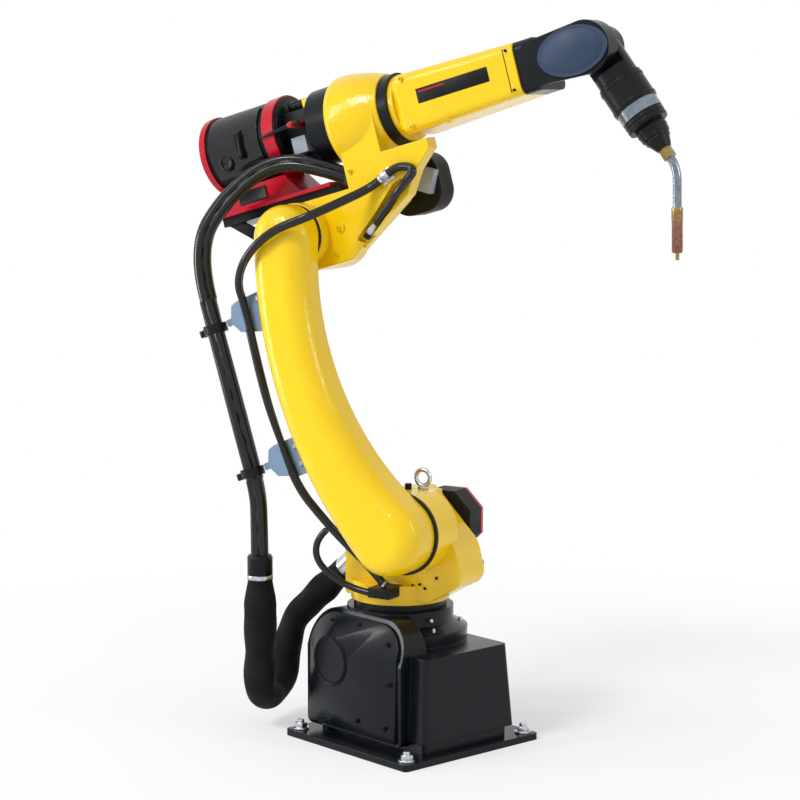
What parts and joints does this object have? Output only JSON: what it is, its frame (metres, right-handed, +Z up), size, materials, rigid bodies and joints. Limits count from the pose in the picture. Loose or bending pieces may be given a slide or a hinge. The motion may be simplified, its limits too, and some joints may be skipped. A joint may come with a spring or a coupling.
{
  "type": "six-axis arc welding robot arm",
  "caption": "Floor-mounted six-axis articulated robot arm with a curved lower arm, rear wire feeder, cable hoses and a hollow-wrist welding torch.",
  "frame": {"origin": "centre of the base turning axis on the underside of the base plate", "axes": "+X to the front of the base, +Y to its left, +Z up; the arm is shown turned 17.4 degrees to the left"},
  "size_m": [1.0437, 0.4854, 1.4641],
  "materials": {
    "base_paint": "semi-gloss near-black paint on cast iron",
    "black_paint": "satin black paint",
    "yellow_paint": "gloss yellow paint on cast metal",
    "grey_paint": "satin grey-blue paint",
    "fork_grey": "satin blue-grey paint",
    "motor_black": "matte black paint",
    "motor_red": "moulded red cap",
    "feeder_red": "gloss red paint",
    "black_plastic": "moulded black plastic",
    "seal_rubber": "black seal",
    "hose_rubber": "black jacketed hose",
    "sleeve_fabric": "black woven sleeve",
    "steel": "plated steel",
    "brass": "turned brass",
    "copper": "worn copper alloy"
  },
  "bodies": {
    "base": {"base_plate": "base_paint", "base_casting": "base_paint", "base_side_cover": "base_paint", "base_cover_blank": "base_paint", "turn_bearing": "black_paint"},
    "turret": {"turret_casting": "yellow_paint", "shoulder_seal": "seal_rubber", "shoulder_motor": "motor_black", "shoulder_motor_cap": "motor_red", "eye_bolt": "steel", "harness_clamp": "black_plastic", "sleeve_fitting": "steel", "sleeve_collar": "black_plastic", "cable_sleeve": "sleeve_fabric", "hose_lower": "hose_rubber", "turret_plug": "black_plastic", "turret_breather": "black_plastic", "harness_lower": "hose_rubber", "harness_loop": "hose_rubber"},
    "arm": {"lower_arm": "yellow_paint", "upper_cable_bracket": "grey_paint", "lower_cable_bracket": "grey_paint", "upper_hose_clamp": "black_plastic", "lower_hose_clamp": "black_plastic", "hose_middle": "hose_rubber", "hose_upper": "hose_rubber", "harness_middle": "hose_rubber", "harness_upper": "hose_rubber"},
    "elbow": {"elbow_casting": "yellow_paint", "elbow_seal": "black_paint", "roll_ring": "black_paint", "roll_motor_cover": "black_paint", "elbow_motor": "motor_black", "elbow_motor_socket": "steel", "feeder_shelf": "black_paint", "feeder_strut": "black_paint", "feeder_tray": "feeder_red", "feeder_plinth": "feeder_red", "feeder_drum": "black_plastic", "feeder_door": "black_plastic", "feeder_end_cap": "feeder_red", "feeder_band": "feeder_red", "wire_drive": "black_plastic", "drive_socket": "steel", "harness_loop_clamp": "steel", "harness_end": "hose_rubber", "harness_gland": "steel"},
    "forearm": {"forearm_casting": "yellow_paint", "wrist_fork": "black_paint", "fork_cover": "fork_grey"},
    "wrist": {"wrist_body": "black_paint"},
    "tool": {"tool_flange": "black_paint", "clamp_ring": "steel", "torch_body": "black_plastic", "torch_nut": "brass", "torch_neck": "steel", "torch_nozzle": "copper", "contact_tip": "copper"}
  },
  "joints": [
    {"name": "base_turn", "type": "hinge", "parent": "base", "child": "turret", "pos_m": [0, 0, 0], "axis": [0, 0, 1], "range_deg": [-187.4, 152.6]},
    {"name": "shoulder_swing", "type": "hinge", "parent": "turret", "child": "arm", "pos_m": [0.07157, 0.02243, 0.45], "axis": [-0.299, 0.9542, 0], "range_deg": [-66.3, 143.7], "deforming": ["hose_lower", "sleeve_collar", "cable_sleeve", "harness_lower", "harness_loop"]},
    {"name": "elbow_swing", "type": "hinge", "parent": "arm", "child": "elbow", "pos_m": [-0.17391, -0.0545, 1.03602], "axis": [0.299, -0.9542, 0], "range_deg": [-60, 160], "deforming": ["hose_upper", "harness_upper"]},
    {"name": "forearm_roll", "type": "hinge", "parent": "elbow", "child": "forearm", "pos_m": [-0.22395, -0.07018, 1.22384], "axis": [0.9191, 0.288, 0.2689], "range_deg": [-190, 190]},
    {"name": "wrist_bend", "type": "hinge", "parent": "forearm", "child": "wrist", "pos_m": [0.41941, 0.13144, 1.41209], "axis": [0.299, -0.9542, 0], "range_deg": [-56.4, 193.6]},
    {"name": "tool_roll", "type": "hinge", "parent": "wrist", "child": "tool", "pos_m": [0.46536, 0.14583, 1.34819], "axis": [0.5743, 0.18, -0.7986], "range_deg": [-450, 450]}
  ]
}
